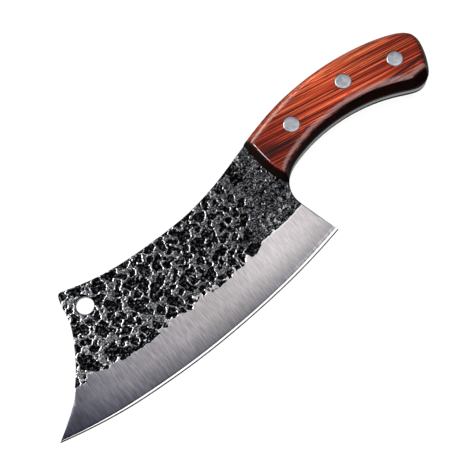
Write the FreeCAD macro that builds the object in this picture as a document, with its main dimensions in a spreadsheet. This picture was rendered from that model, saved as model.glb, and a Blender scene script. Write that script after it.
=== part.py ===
import FreeCAD, Part
import os
import Sketcher
from FreeCAD import Vector

# Butcher's cleaver: a full-tang forged blade, two wooden scales and three two-piece rivets.
# Knife frame used while drawing: the cutting edge's chord runs along X from the tip (0, 0) to the
# heel, the spine is towards +Y, and the blade's middle plane is z = 0. Every sub-part's Placement
# then carries it to the part frame: the origin under the middle of the whole cleaver, on the flat
# outer face of the lower scale, with +Z out of the upper scale.

os.makedirs("parts", exist_ok=True)
doc = FreeCAD.newDocument("Cleaver")

# ---------------------------------------------------------------- driving dimensions
sheet = doc.addObject("Spreadsheet::Sheet", "Sizes")
CELLS = [
    ("steel_thick", 4.0, "thickness of the forged bar, blade and tang"),
    ("scale_thick", 7.5, "thickness of one wooden scale"),
    ("apex_half", 0.12, "half thickness left at the cutting edge"),
    ("micro_half", 0.45, "half thickness where the honed edge meets the ground bevel"),
    ("hang_hole_rad", 5.0, "hang hole radius"),
    ("hang_hole_x", 54.4, "hang hole position"),
    ("hang_hole_y", 52.2, "hang hole position"),
    ("nose_corner_rad", 2.2, "rounding of the spine's front corner"),
    ("rivet_head_rad", 4.75, "rivet head radius"),
    ("rivet_head_thick", 2.2, "rivet head thickness"),
    ("rivet_tube_rad", 3.0, "outside radius of the hollow rivet half"),
    ("rivet_pin_rad", 2.0, "radius of the solid rivet half, and of the bore it is driven into"),
    ("rivet_end_gap", 0.3, "air left at the end of each rivet half"),
    ("drill_gap", 0.05, "radial room round a rivet in wood and steel"),
    ("front_rivet_x", 208.2, "rivet position"),
    ("front_rivet_y", 62.9, "rivet position"),
    ("middle_rivet_x", 248.3, "rivet position"),
    ("middle_rivet_y", 65.3, "rivet position"),
    ("rear_rivet_x", 280.9, "rivet position"),
    ("rear_rivet_y", 57.7, "rivet position"),
    ("bevel_width", 3.4, "scale's edge bevel, measured across the grip"),
    ("bevel_depth", 5.6, "scale's edge bevel, measured down from the outer face"),
    ("bevel_round", 5.0, "rounding between the scale's outer face and its bevel"),
    ("front_round", 0.6, "rounding of the outer face's front edge, which stays crisp"),
    ("origin_x", 150.95, "middle of the whole cleaver along X"),
    ("origin_y", 35.705, "middle of the whole cleaver along Y"),
]
for row, (alias, value, note) in enumerate(CELLS, start=1):
    sheet.set("A%d" % row, alias)
    sheet.set("B%d" % row, str(value))
    sheet.set("C%d" % row, note)
    sheet.setAlias("B%d" % row, alias)
doc.recompute()
size = {alias: float(sheet.get(alias)) for alias, _, _ in CELLS}

# ---------------------------------------------------------------- outline curves, in the knife frame
# Spine, handle back, butt, belly and the finger notch in front of the heel, in one smooth run.
BACK = [(53.4, 65.1), (67.8, 61.4), (82.5, 59.4), (97.3, 58.6), (112.1, 58.5), (127.0, 59.1), (141.6, 61.1),
        (156.0, 64.4), (170.3, 68.7), (184.4, 73.0), (198.6, 76.9), (213.2, 79.8), (227.9, 81.3), (242.8, 81.6),
        (257.5, 80.6), (272.2, 78.3), (283.0, 75.6), (291.5, 72.6), (297.3, 69.6), (300.8, 65.8), (301.9, 61.0),
        (300.7, 55.0), (298.4, 49.2), (295.4, 43.8), (292.4, 39.9), (288.6, 37.6), (284.0, 37.1), (278.9, 38.6),
        (271.0, 42.2), (260.9, 46.0), (246.4, 49.4), (231.6, 50.7), (216.9, 50.0), (203.2, 47.4), (193.6, 43.8),
        (187.4, 38.7), (184.6, 33.4), (184.0, 28.4), (184.9, 23.3)]
NOSE_CORNER = (46.2, 67.2)          # where the spine meets the front end
FRONT = [(46.2, 67.2), (43.9, 59.2), (42.4, 50.6), (37.9, 40.2), (32.3, 30.6), (25.6, 21.5), (18.0, 13.4),
         (9.4, 6.1), (0.0, 0.0)]
EDGE = [(0.0, 0.0), (9.1, -2.2), (22.8, -5.0), (41.3, -7.8), (59.9, -9.3), (83.4, -10.2), (102.5, -10.0),
        (121.8, -9.1), (141.3, -7.6), (161.2, -5.3), (176.3, -2.9), (191.5, 0.0)]
GRIND = [(24.8, 19.9), (44.4, 18.1), (64.7, 16.7), (84.5, 16.1), (104.7, 16.3), (124.6, 17.0), (144.7, 18.4),
         (164.5, 20.3), (184.9, 23.3)]
# Where the scales start on the blade: from the spine down to the notch, slightly bowed.
SCALE_FRONT = [(180.7, 64.5), (180.9, 58.5), (181.5, 52.5), (182.9, 46.5), (184.8, 41.3)]
SCALE_TOP_X = 180.6
SCALE_LOW = (187.1, 38.3)


def spline(points):
    curve = Part.BSplineCurve()
    curve.interpolate([Vector(x, y, 0) for x, y in points])
    return curve


def y_at(curve, x):
    """The y of a curve drawn left to right, at x."""
    low, high = curve.FirstParameter, curve.LastParameter
    for _ in range(60):
        middle = 0.5 * (low + high)
        if curve.value(middle).x < x:
            low = middle
        else:
            high = middle
    return curve.value(0.5 * (low + high)).y


back = spline([NOSE_CORNER] + BACK)
front = spline(FRONT)
edge = spline(EDGE)
grind = spline(GRIND)
heel = Vector(EDGE[-1][0], EDGE[-1][1], 0)
notch_end = Vector(BACK[-1][0], BACK[-1][1], 0)


def pieces(curve, cuts):
    """One curve as a chain of shorter ones that join smoothly, cut at parameters."""
    ends = [curve.FirstParameter] + sorted(cuts) + [curve.LastParameter]
    chain = []
    for low, high in zip(ends, ends[1:]):
        part = curve.copy()
        part.segment(low, high)
        chain.append(part)
    return chain


def near(curve, points):
    return [curve.parameter(Vector(x, y, 0)) for x, y in points]


# The back curve is cut where the scale starts and ends, and at a few points between.
def along_back(test, start, stop):
    for _ in range(70):
        middle = 0.5 * (start + stop)
        if test(back.value(middle)):
            start = middle
        else:
            stop = middle
    return 0.5 * (start + stop)


scale_first = along_back(lambda p: p.x < SCALE_TOP_X, back.FirstParameter, near(back, [(242.8, 81.6)])[0])
scale_last = along_back(lambda p: p.y > SCALE_LOW[1], near(back, [(231.6, 50.7)])[0], back.LastParameter)
SPINE_CUTS = near(back, [(67.8, 61.4), (97.3, 58.6), (127.0, 59.1), (156.0, 64.4)])
GRIP_CUTS = near(back, [(198.6, 76.9), (227.9, 81.3), (257.5, 80.6), (283.0, 75.6), (297.3, 69.6), (301.9, 61.0),
                        (298.4, 49.2), (292.4, 39.9), (284.0, 37.1), (271.0, 42.2), (246.4, 49.4), (216.9, 50.0),
                        (203.2, 47.4), (193.6, 43.8)])
NOTCH_CUTS = near(back, [(184.6, 33.4)])


def plane(body, role):
    return [f for f in body.Origin.OriginFeatures if f.Role == role][0]


def attach(sketch, body, role, offset=None):
    sketch.AttachmentSupport = [(plane(body, role), "")]
    sketch.MapMode = "FlatFace"
    if offset is not None:
        sketch.setExpression(".AttachmentOffset.Base.z", offset)


def block(sketch):
    for index in range(sketch.GeometryCount):
        sketch.addConstraint(Sketcher.Constraint("Block", index))


def name(sketch, index, label):
    sketch.renameConstraint(index, label)


def place(body):
    body.setExpression("Placement.Base.x", "-Sizes.origin_x")
    body.setExpression("Placement.Base.y", "-Sizes.origin_y")
    body.setExpression("Placement.Base.z", "Sizes.scale_thick + Sizes.steel_thick / 2")


def circle(sketch, x_name, y_name, radius):
    """A circle whose centre and radius follow the sheet."""
    index = sketch.addGeometry(Part.Circle(Vector(size[x_name], size[y_name], 0), Vector(0, 0, 1), 3.0), False)
    stem = x_name[:-2]
    for kind, args, expression in (
            ("DistanceX", (index, 3, size[x_name]), "Sizes." + x_name),
            ("DistanceY", (index, 3, size[y_name]), "Sizes." + y_name),
            ("Radius", (index, 3.0), radius)):
        number = sketch.addConstraint(Sketcher.Constraint(kind, *args))
        label = "%s_%s" % (stem, kind)
        name(sketch, number, label)
        sketch.setExpression("Constraints." + label, expression)
    return index


def volume(feature):
    return feature.Shape.Volume


# ---------------------------------------------------------------- blade and tang
blade = doc.addObject("PartDesign::Body", "blade_and_tang")
blade.Label = "blade_and_tang"
outline = blade.newObject("Sketcher::SketchObject", "BladeOutline")
attach(outline, blade, "XY_Plane")
for piece in (pieces(back, SPINE_CUTS + [scale_first] + GRIP_CUTS + [scale_last] + NOTCH_CUTS)
              + [Part.LineSegment(notch_end, heel)]
              + pieces(edge, near(edge, [(22.8, -5.0), (59.9, -9.3), (102.5, -10.0), (141.3, -7.6)]))
              + pieces(front, near(front, [(42.4, 50.6), (32.3, 30.6), (18.0, 13.4)]))):
    outline.addGeometry(piece, False)
block(outline)
bar = blade.newObject("PartDesign::Pad", "ForgedBar")
bar.Profile = outline
bar.SideType = "Symmetric"
bar.setExpression("Length", "Sizes.steel_thick")
doc.recompute()

# the front corner of the spine is rounded off
corner = None
for number, side in enumerate(bar.Shape.Edges, start=1):
    middle = side.valueAt(0.5 * (side.FirstParameter + side.LastParameter))
    if abs(middle.x - NOSE_CORNER[0]) < 0.01 and abs(middle.y - NOSE_CORNER[1]) < 0.01:
        corner = "Edge%d" % number
nose = blade.newObject("PartDesign::Fillet", "NoseCorner")
nose.Base = (bar, [corner])
nose.setExpression("Radius", "Sizes.nose_corner_rad")
doc.recompute()

# hang hole and the three rivet holes
drill = blade.newObject("Sketcher::SketchObject", "BladeHoles")
attach(drill, blade, "XY_Plane")
circle(drill, "hang_hole_x", "hang_hole_y", "Sizes.hang_hole_rad")
for which in ("front", "middle", "rear"):
    circle(drill, which + "_rivet_x", which + "_rivet_y", "Sizes.rivet_tube_rad + Sizes.drill_gap")
holes = blade.newObject("PartDesign::Pocket", "Holes")
holes.Profile = drill
holes.SideType = "Symmetric"
holes.Length = 40
doc.recompute()
assert volume(nose) - volume(holes) > 600, "the holes must cut the bar"

# The ground bevel and the honed edge are cut by one loft of sections across the edge. Each section
# follows the bevel's flat from above the bar's face down to the honed edge, then to the apex.
half = size["steel_thick"] / 2
STATIONS = [-14.0, 10.0, 34.0, 60.0, 88.0, 116.0, 144.0, 170.0, 192.5]


def edge_y(x):
    if x <= 0.0:
        return 0.0 - 0.243 * x
    if x >= 191.5:
        return 0.19 * (x - 191.5)
    return y_at(edge, x)


def grind_y(x):
    if x <= 24.8:
        return 19.9 + 0.10 * (24.8 - x)
    if x >= 184.9:
        return 23.3 + 0.147 * (x - 184.9)
    return y_at(grind, x)


def honed_width(x):
    return 1.2 + 1.0 * max(0.0, min(x, 191.5)) / 191.5


sections = []
for number, x in enumerate(STATIONS):
    low, high, wide = edge_y(x), grind_y(x), honed_width(x)
    top = size["micro_half"]
    rise = (high - (low + wide)) / (half - top)
    corners = [(high + rise, half + 1.0), (low + wide, top), (low, size["apex_half"]),
               (low - 4.0, size["apex_half"]), (low - 4.0, half + 1.0)]
    section = blade.newObject("Sketcher::SketchObject", "BevelSection%d" % number)
    attach(section, blade, "YZ_Plane")
    section.AttachmentOffset = FreeCAD.Placement(Vector(0, 0, x), FreeCAD.Rotation())
    for one, two in zip(corners, corners[1:] + corners[:1]):
        section.addGeometry(Part.LineSegment(Vector(one[0], one[1], 0), Vector(two[0], two[1], 0)), False)
    block(section)
    sections.append(section)
doc.recompute()
bevel = blade.newObject("PartDesign::SubtractiveLoft", "GroundBevel")
bevel.Profile = sections[0]
bevel.Sections = sections[1:]
bevel.Ruled = False
doc.recompute()
one_side = volume(holes) - volume(bevel)
both = blade.newObject("PartDesign::Mirrored", "BevelBothSides")
both.Originals = [bevel]
both.MirrorPlane = (plane(blade, "XY_Plane"), [""])
blade.Tip = both
doc.recompute()
two_sides = volume(holes) - volume(both)
assert one_side > 2000 and abs(two_sides - 2 * one_side) < 0.01 * two_sides, "the bevel must cut both faces"
place(blade)

# ---------------------------------------------------------------- wooden scales
grip = back.copy()
grip.segment(scale_first, scale_last)
start, stop = grip.value(grip.FirstParameter), grip.value(grip.LastParameter)
bow = Part.BSplineCurve()
bow.interpolate([stop] + [Vector(x, y, 0) for x, y in reversed(SCALE_FRONT)] + [start])
left = doc.addObject("PartDesign::Body", "scale_left")
left.Label = "scale_left"
profile = left.newObject("Sketcher::SketchObject", "ScaleOutline")
attach(profile, left, "XY_Plane", "Sizes.steel_thick / 2")
for piece in pieces(grip, GRIP_CUTS) + [bow]:
    profile.addGeometry(piece, False)
block(profile)
slab = left.newObject("PartDesign::Pad", "ScaleSlab")
slab.Profile = profile
slab.setExpression("Length", "Sizes.scale_thick")
doc.recompute()
outer = half + size["scale_thick"]


def rim(shape, z):
    found = []
    for number, side in enumerate(shape.Edges, start=1):
        box = side.BoundBox
        if abs(box.ZMin - z) < 1e-4 and abs(box.ZMax - z) < 1e-4:
            found.append("Edge%d" % number)
    return found


bevels = left.newObject("PartDesign::Chamfer", "ScaleBevel")
bevels.Base = (slab, rim(slab.Shape, outer))
bevels.ChamferType = "Two distances"
bevels.setExpression("Size", "Sizes.bevel_width")
bevels.setExpression("Size2", "Sizes.bevel_depth")
bevels.FlipDirection = True
doc.recompute()
assert 1500 < volume(slab) - volume(bevels) < 5000, "the scale's bevel must cut its outer edge"


def front_edges(shape, names):
    """The outer face's long edge at the blade."""
    boxes = [(n, shape.getElement(n).BoundBox) for n in names]
    return [n for n, box in boxes if box.XMax < 192.0 and box.YLength > 12.0]


around = rim(bevels.Shape, outer)
ahead = front_edges(bevels.Shape, around)
assert len(ahead) == 1, "the outer face has one front edge"
soft = left.newObject("PartDesign::Fillet", "ScaleSoftEdge")
soft.Base = (bevels, [n for n in around if n not in ahead])
soft.setExpression("Radius", "Sizes.bevel_round")
doc.recompute()
assert 100 < volume(bevels) - volume(soft) < 1500, "the bevel must be softened"
crisp = left.newObject("PartDesign::Fillet", "ScaleFrontEdge")
crisp.Base = (soft, front_edges(soft.Shape, rim(soft.Shape, outer)))
crisp.setExpression("Radius", "Sizes.front_round")
doc.recompute()
assert 0.1 < volume(soft) - volume(crisp) < 20, "the front edge must be eased"

bores = left.newObject("Sketcher::SketchObject", "ScaleBores")
attach(bores, left, "XY_Plane", "Sizes.steel_thick / 2")
seats = left.newObject("Sketcher::SketchObject", "HeadSeats")
attach(seats, left, "XY_Plane", "Sizes.steel_thick / 2 + Sizes.scale_thick")
for which in ("front", "middle", "rear"):
    circle(bores, which + "_rivet_x", which + "_rivet_y", "Sizes.rivet_tube_rad + Sizes.drill_gap")
    circle(seats, which + "_rivet_x", which + "_rivet_y", "Sizes.rivet_head_rad + Sizes.drill_gap")
drilled = left.newObject("PartDesign::Pocket", "Bores")
drilled.Profile = bores
drilled.SideType = "Symmetric"
drilled.Length = 60
doc.recompute()
seated = left.newObject("PartDesign::Pocket", "Seats")
seated.Profile = seats
seated.setExpression("Length", "Sizes.rivet_head_thick")
doc.recompute()
assert volume(crisp) - volume(drilled) > 400, "the bores must go through the scale"
assert 150 < volume(drilled) - volume(seated) < 700, "the head seats must cut the scale"
left.Tip = seated
place(left)
doc.recompute()

right = doc.addObject("Part::Mirroring", "scale_right")
right.Label = "scale_right"
right.Source = left
right.Normal = Vector(0, 0, 1)
right.setExpression("Base.z", "Sizes.scale_thick + Sizes.steel_thick / 2")
doc.recompute()


# ---------------------------------------------------------------- rivets
def turned(label, corners, which):
    """A body turned about Z from a half profile. Each corner is two lengths from the axis and the middle
    plane, and each length is a sheet expression with its present value."""
    body = doc.addObject("PartDesign::Body", label)
    body.Label = label
    half_profile = body.newObject("Sketcher::SketchObject", label + "_profile")
    attach(half_profile, body, "XZ_Plane")
    values = [(r[1], z[1]) for r, z in corners]
    count = len(values)
    for index in range(count):
        one, two = values[index], values[(index + 1) % count]
        half_profile.addGeometry(Part.LineSegment(Vector(one[0], one[1], 0), Vector(two[0], two[1], 0)), False)
    for index in range(count):
        half_profile.addConstraint(Sketcher.Constraint("Coincident", index, 2, (index + 1) % count, 1))
    for index, ((r, _), (z, _)) in enumerate(corners):
        if values[index][0] == 0.0:
            half_profile.addConstraint(Sketcher.Constraint("PointOnObject", index, 1, -2))
        else:
            number = half_profile.addConstraint(Sketcher.Constraint("DistanceX", -1, 1, index, 1, values[index][0]))
            half_profile.renameConstraint(number, "r%d" % index)
            half_profile.setExpression("Constraints.r%d" % index, r)
        number = half_profile.addConstraint(Sketcher.Constraint("DistanceY", -1, 1, index, 1, values[index][1]))
        half_profile.renameConstraint(number, "z%d" % index)
        half_profile.setExpression("Constraints.z%d" % index, z)
    spin = body.newObject("PartDesign::Revolution", label + "_turned")
    spin.Profile = half_profile
    spin.ReferenceAxis = (half_profile, ["V_Axis"])
    spin.Angle = 360
    body.Tip = spin
    body.setExpression("Placement.Base.x", "Sizes.%s_rivet_x - Sizes.origin_x" % which)
    body.setExpression("Placement.Base.y", "Sizes.%s_rivet_y - Sizes.origin_y" % which)
    body.setExpression("Placement.Base.z", "Sizes.scale_thick + Sizes.steel_thick / 2")
    doc.recompute()
    return body


face = size["steel_thick"] / 2 + size["scale_thick"]
seat = face - size["rivet_head_thick"]
TOP = ("Sizes.steel_thick / 2 + Sizes.scale_thick", face)
UNDER_TOP = (TOP[0] + " - Sizes.rivet_head_thick", seat)
BOTTOM = ("0 - Sizes.steel_thick / 2 - Sizes.scale_thick", -face)
OVER_BOTTOM = (BOTTOM[0] + " + Sizes.rivet_head_thick", -seat)
PIN_END = (OVER_BOTTOM[0] + " + Sizes.rivet_end_gap", -seat + size["rivet_end_gap"])
TUBE_END = (UNDER_TOP[0] + " - Sizes.rivet_end_gap", seat - size["rivet_end_gap"])
AXIS = ("0", 0.0)
PIN_R = ("Sizes.rivet_pin_rad", size["rivet_pin_rad"])
TUBE_R = ("Sizes.rivet_tube_rad", size["rivet_tube_rad"])
HEAD_R = ("Sizes.rivet_head_rad", size["rivet_head_rad"])
PIN = [(AXIS, PIN_END), (PIN_R, PIN_END), (PIN_R, UNDER_TOP), (HEAD_R, UNDER_TOP), (HEAD_R, TOP), (AXIS, TOP)]
TUBE = [(AXIS, BOTTOM), (HEAD_R, BOTTOM), (HEAD_R, OVER_BOTTOM), (TUBE_R, OVER_BOTTOM), (TUBE_R, TUBE_END),
        (PIN_R, TUBE_END), (PIN_R, OVER_BOTTOM), (AXIS, OVER_BOTTOM)]
rivets = []
for which in ("front", "middle", "rear"):
    rivets.append(turned("rivet_pin_" + which, PIN, which))
    rivets.append(turned("rivet_tube_" + which, TUBE, which))

# ---------------------------------------------------------------- check and write
doc.recompute()
bad = [o.Label for o in doc.Objects if any(word in ("Invalid", "Error") for word in o.State)]
assert not bad, "failed objects: %s" % bad
subparts = [blade, left, right] + rivets
for body in subparts:
    shape = body.Shape
    assert not shape.isNull() and shape.isValid() and len(shape.Solids) == 1, body.Label
    assert shape.Volume > 0, body.Label
for body in subparts:
    body.Shape.exportStep("parts/%s.step" % body.Label)
    box = body.Shape.optimalBoundingBox(False, False)
    print("%-20s %9.1f mm3  x %.2f..%.2f  y %.2f..%.2f  z %.2f..%.2f" % (
        body.Label, body.Shape.Volume, box.XMin, box.XMax, box.YMin, box.YMax, box.ZMin, box.ZMax))
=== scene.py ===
import math

import bpy
import numpy as np
from mathutils import Matrix, Vector
from mathutils.geometry import delaunay_2d_cdt
from mathutils.kdtree import KDTree


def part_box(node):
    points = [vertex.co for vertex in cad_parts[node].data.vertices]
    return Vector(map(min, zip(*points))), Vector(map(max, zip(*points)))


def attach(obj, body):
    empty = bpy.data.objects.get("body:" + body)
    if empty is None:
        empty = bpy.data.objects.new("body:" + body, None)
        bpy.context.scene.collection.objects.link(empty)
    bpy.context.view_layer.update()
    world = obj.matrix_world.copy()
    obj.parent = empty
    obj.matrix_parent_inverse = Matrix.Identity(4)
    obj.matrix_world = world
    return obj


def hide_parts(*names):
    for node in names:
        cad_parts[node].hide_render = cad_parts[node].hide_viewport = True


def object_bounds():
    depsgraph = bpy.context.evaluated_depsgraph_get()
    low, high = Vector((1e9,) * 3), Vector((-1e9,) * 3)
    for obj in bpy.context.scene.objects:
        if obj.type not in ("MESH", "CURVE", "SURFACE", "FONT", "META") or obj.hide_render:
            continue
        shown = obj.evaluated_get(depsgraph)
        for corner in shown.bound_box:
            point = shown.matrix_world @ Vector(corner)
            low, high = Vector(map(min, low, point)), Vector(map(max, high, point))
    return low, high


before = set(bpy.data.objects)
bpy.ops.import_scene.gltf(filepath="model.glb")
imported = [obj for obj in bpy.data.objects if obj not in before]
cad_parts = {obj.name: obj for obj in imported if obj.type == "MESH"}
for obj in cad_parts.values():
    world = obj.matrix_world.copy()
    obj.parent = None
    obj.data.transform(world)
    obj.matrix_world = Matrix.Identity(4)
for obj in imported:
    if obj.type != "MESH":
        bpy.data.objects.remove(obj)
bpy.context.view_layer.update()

BODY = "root"
scene = bpy.context.scene

# ------------------------------------------------------------------ the cleaver's lines, in millimetres
# Knife frame: x along the cutting edge's chord from the tip, y towards the spine, z = 0 the middle plane.
BACK = [(46.2, 67.2), (53.4, 65.1), (67.8, 61.4), (82.5, 59.4), (97.3, 58.6), (112.1, 58.5), (127.0, 59.1),
        (141.6, 61.1), (156.0, 64.4), (170.3, 68.7), (184.4, 73.0), (198.6, 76.9), (213.2, 79.8), (227.9, 81.3),
        (242.8, 81.6), (257.5, 80.6), (272.2, 78.3), (283.0, 75.6), (291.5, 72.6), (297.3, 69.6), (300.8, 65.8),
        (301.9, 61.0), (300.7, 55.0), (298.4, 49.2), (295.4, 43.8), (292.4, 39.9), (288.6, 37.6), (284.0, 37.1),
        (278.9, 38.6), (271.0, 42.2), (260.9, 46.0), (246.4, 49.4), (231.6, 50.7), (216.9, 50.0), (203.2, 47.4),
        (193.6, 43.8), (187.4, 38.7), (184.6, 33.4), (184.0, 28.4), (184.9, 23.3)]
FRONT = [(46.2, 67.2), (43.9, 59.2), (42.4, 50.6), (37.9, 40.2), (32.3, 30.6), (25.6, 21.5), (18.0, 13.4),
         (9.4, 6.1), (0.0, 0.0)]
EDGE = [(0.0, 0.0), (9.1, -2.2), (22.8, -5.0), (41.3, -7.8), (59.9, -9.3), (83.4, -10.2), (102.5, -10.0),
        (121.8, -9.1), (141.3, -7.6), (161.2, -5.3), (176.3, -2.9), (191.5, 0.0)]
# the ragged upper border of the ground bevel, without its smallest bites
GRIND = [(20.0, 20.4), (30.1, 19.4), (37.9, 19.3), (44.4, 18.0), (53.0, 16.9), (62.6, 16.6), (72.0, 15.6),
         (78.1, 16.6), (85.1, 16.9), (92.5, 16.6), (99.0, 15.6), (104.9, 17.0), (112.9, 16.7), (123.0, 16.6),
         (134.7, 17.8), (142.8, 18.5), (153.4, 19.8), (162.7, 20.2), (172.5, 20.9), (184.9, 23.3), (192.0, 24.3)]
SCALE_FRONT = [(180.7, 64.5), (180.9, 58.5), (181.5, 52.5), (182.9, 46.5), (184.8, 41.3)]
SCALE_TOP_X = 180.6
SCALE_LOW_Y = 38.3
HOLE = (54.4, 52.2, 5.0)
RIVETS = {"front": (208.2, 62.9), "middle": (248.3, 65.3), "rear": (280.9, 57.7)}
STREAKS = [((184.5, 57.4), (204.0, 55.0), 0.0013, 0.97), ((182.0, 60.4), (193.0, 58.6), 0.0030, 0.62),
           ((268.5, 49.8), (296.0, 48.9), 0.0013, 0.95)]
HALF = 2.0               # half of the steel's thickness
SCALE = 7.5              # thickness of one wooden scale
HEAD_R, HEAD_T, TUBE_R, PIN_R = 4.75, 2.2, 3.0, 2.0
APEX, MICRO = 0.12, 0.45  # half thickness at the cutting edge and where the honed edge starts


class Curve:
    """A smooth curve through points, sampled by arc length."""

    def __init__(self, points):
        p = np.array(points, float)
        t = np.r_[0, np.cumsum(np.hypot(*np.diff(p, axis=0).T))]
        n = len(t)
        h = np.diff(t)
        a = np.zeros((n, n))
        b = np.zeros((n, 2))
        a[0, 0] = a[-1, -1] = 1
        for i in range(1, n - 1):
            a[i, i - 1], a[i, i], a[i, i + 1] = h[i - 1], 2 * (h[i - 1] + h[i]), h[i]
            b[i] = 6 * ((p[i + 1] - p[i]) / h[i] - (p[i] - p[i - 1]) / h[i - 1])
        self.m = np.linalg.solve(a, b)
        self.p, self.t, self.h = p, t, h
        fine = np.linspace(0, t[-1], 6000)
        q = self.at(fine)
        self.arc = np.r_[0, np.cumsum(np.hypot(*np.diff(q, axis=0).T))]
        self.fine, self.q = fine, q
        self.length = self.arc[-1]

    def at(self, t):
        t = np.atleast_1d(t)
        i = np.clip(np.searchsorted(self.t, t, side="right") - 1, 0, len(self.h) - 1)
        h = self.h[i][:, None]
        u = (t - self.t[i])[:, None]
        w = h - u
        return (self.m[i] * w**3 + self.m[i + 1] * u**3) / (6 * h) + (self.p[i] / h - self.m[i] * h / 6) * w + (
            self.p[i + 1] / h - self.m[i + 1] * h / 6) * u

    def along(self, s):
        """Points at these arc lengths."""
        return self.at(np.interp(s, self.arc, self.fine))

    def sampled(self, step, start=0.0, stop=None):
        stop = self.length if stop is None else stop
        n = max(1, int(math.ceil((stop - start) / step)))
        return self.along(np.linspace(start, stop, n + 1))

    def arc_where(self, test, low, high):
        for _ in range(60):
            middle = 0.5 * (low + high)
            if test(self.along(middle)[0]):
                low = middle
            else:
                high = middle
        return 0.5 * (low + high)


back, front_end, edge_line = Curve(BACK), Curve(FRONT), Curve(EDGE)
GRIND_XY = np.array(GRIND)


def edge_y(x):
    return np.interp(x, edge_line.q[:, 0], edge_line.q[:, 1])


def grind_y(x):
    return np.interp(x, GRIND_XY[:, 0], GRIND_XY[:, 1])


def honed_width(x):
    return np.interp(x, [0, 10, 25, 45, 85, 125, 160, 191.5], [0.8, 0.9, 1.15, 1.5, 1.6, 1.55, 1.75, 1.85])


# the CAD blade says where the knife frame lies in the row frame
blade_low, blade_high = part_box("blade_and_tang")
X0 = blade_low.x * 1000.0
Y0 = blade_high.y * 1000.0 - back.q[:, 1].max()
Z0 = 500.0 * (blade_low.z + blade_high.z)


def to_row(xyz):
    return (np.asarray(xyz, float) + [X0, Y0, Z0]) / 1000.0


# ------------------------------------------------------------------ seeded noise on arrays
def value_noise(x, y, cell, seed):
    """Smooth noise from -1 to 1 with features of about one cell."""
    table = np.random.default_rng(seed).uniform(-1, 1, (256, 256))
    u, v = np.asarray(x) / cell + 1000.0, np.asarray(y) / cell + 1000.0
    i, j = np.floor(u).astype(int), np.floor(v).astype(int)
    fu, fv = u - i, v - j
    fu, fv = fu**3 * (fu * (fu * 6 - 15) + 10), fv**3 * (fv * (fv * 6 - 15) + 10)
    i0, j0, i1, j1 = i % 256, j % 256, (i + 1) % 256, (j + 1) % 256
    top = table[i0, j0] * (1 - fu) + table[i1, j0] * fu
    low = table[i0, j1] * (1 - fu) + table[i1, j1] * fu
    return top * (1 - fv) + low * fv


def smoothstep(low, high, x):
    t = np.clip((x - low) / (high - low), 0, 1)
    return t * t * (3 - 2 * t)


def blurred(a, sigma):
    """Gaussian blur of a 2-D array; sigma in cells."""
    n = int(math.ceil(3 * sigma))
    k = np.exp(-0.5 * (np.arange(-n, n + 1) / sigma) ** 2)
    k /= k.sum()
    for axis in (0, 1):
        pad = [(0, 0), (0, 0)]
        pad[axis] = (n, n)
        b = np.pad(a, pad, mode="edge")
        out = np.zeros_like(a)
        size = a.shape[axis]
        for q, w in enumerate(k):
            out += w * (b[q:q + size] if axis == 0 else b[:, q:q + size])
        a = out
    return a


# ------------------------------------------------------------------ the hammered face, as a fine height map
CELL = 0.16
RX0, RX1, RY0, RY1 = -3.0, 195.0, -14.0, 82.0
NX, NY = int((RX1 - RX0) / CELL), int((RY1 - RY0) / CELL)
GX, GY = np.meshgrid(RX0 + CELL * np.arange(NX), RY0 + CELL * np.arange(NY), indexing="ij")


def near_handle(x, y):
    """0 on the deeply hammered blade, 1 in the finer, shallower texture by the handle and the heel."""
    line = x - 0.38 * (y - 25.0)
    return smoothstep(141.0, 159.0, line + 4.0 * value_noise(x, y, 8.0, 77))


def lobed_pits(rng, points, wx, wy, rough, depth, floor):
    """Presses irregular pits, each made of a few overlapping lobes, into the depth map."""
    for p, a, deep in points:
        turn = rng.uniform(0, math.pi)
        lobes = [(0.0, 0.0, 0.78 * a)]
        for _ in range(int(rng.integers(1, 4))):
            way = turn + rng.choice([0, math.pi]) + rng.normal(0, 0.7)
            lobes.append((0.55 * a * math.cos(way), 0.55 * a * math.sin(way), a * rng.uniform(0.42, 0.70)))
        reach = 1.5 * a + 1.6
        i0, i1 = max(int((p[0] - reach - RX0) / CELL), 0), min(int((p[0] + reach - RX0) / CELL) + 1, NX)
        j0, j1 = max(int((p[1] - reach - RY0) / CELL), 0), min(int((p[1] + reach - RY0) / CELL) + 1, NY)
        if i1 <= i0 or j1 <= j0:
            continue
        w = (slice(i0, i1), slice(j0, j1))
        q = np.full(wx[w].shape, 9.0)
        for lx, ly, lr in lobes:
            d = np.hypot(wx[w] - p[0] - lx, wy[w] - p[1] - ly) - lr
            h = np.clip(0.5 + 0.5 * (q - d) / 0.5, 0, 1)
            q = q * (1 - h) + d * h - 0.5 * h * (1 - h)
        q = q + 0.22 * rough[w]
        pit = deep * (1 - smoothstep(-0.42, 0.16, q))
        depth[w] = np.maximum(depth[w], pit)
        floor[w] = np.maximum(floor[w], 1 - smoothstep(-0.55, 0.0, q))


def scattered(rng, tries, room_of, x_range=(-2, 192), y_range=(3, 82)):
    """Points kept clear of each other by their own room."""
    kept = np.zeros((tries, 2))
    rooms = np.zeros(tries)
    n = 0
    out = []
    spots = np.c_[rng.uniform(*x_range, tries), rng.uniform(*y_range, tries)]
    calm = near_handle(spots[:, 0], spots[:, 1])
    dice = rng.random((tries, 2))
    for p, c, r in zip(spots, calm, dice):
        room = room_of(p, c, r[0])
        if room is None:
            continue
        if n and np.min(np.hypot(*(kept[:n] - p).T) - 0.5 * rooms[:n]) < 0.5 * room:
            continue
        kept[n], rooms[n] = p, room
        n += 1
        out.append((p, room, c, r[1]))
    return out


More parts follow.
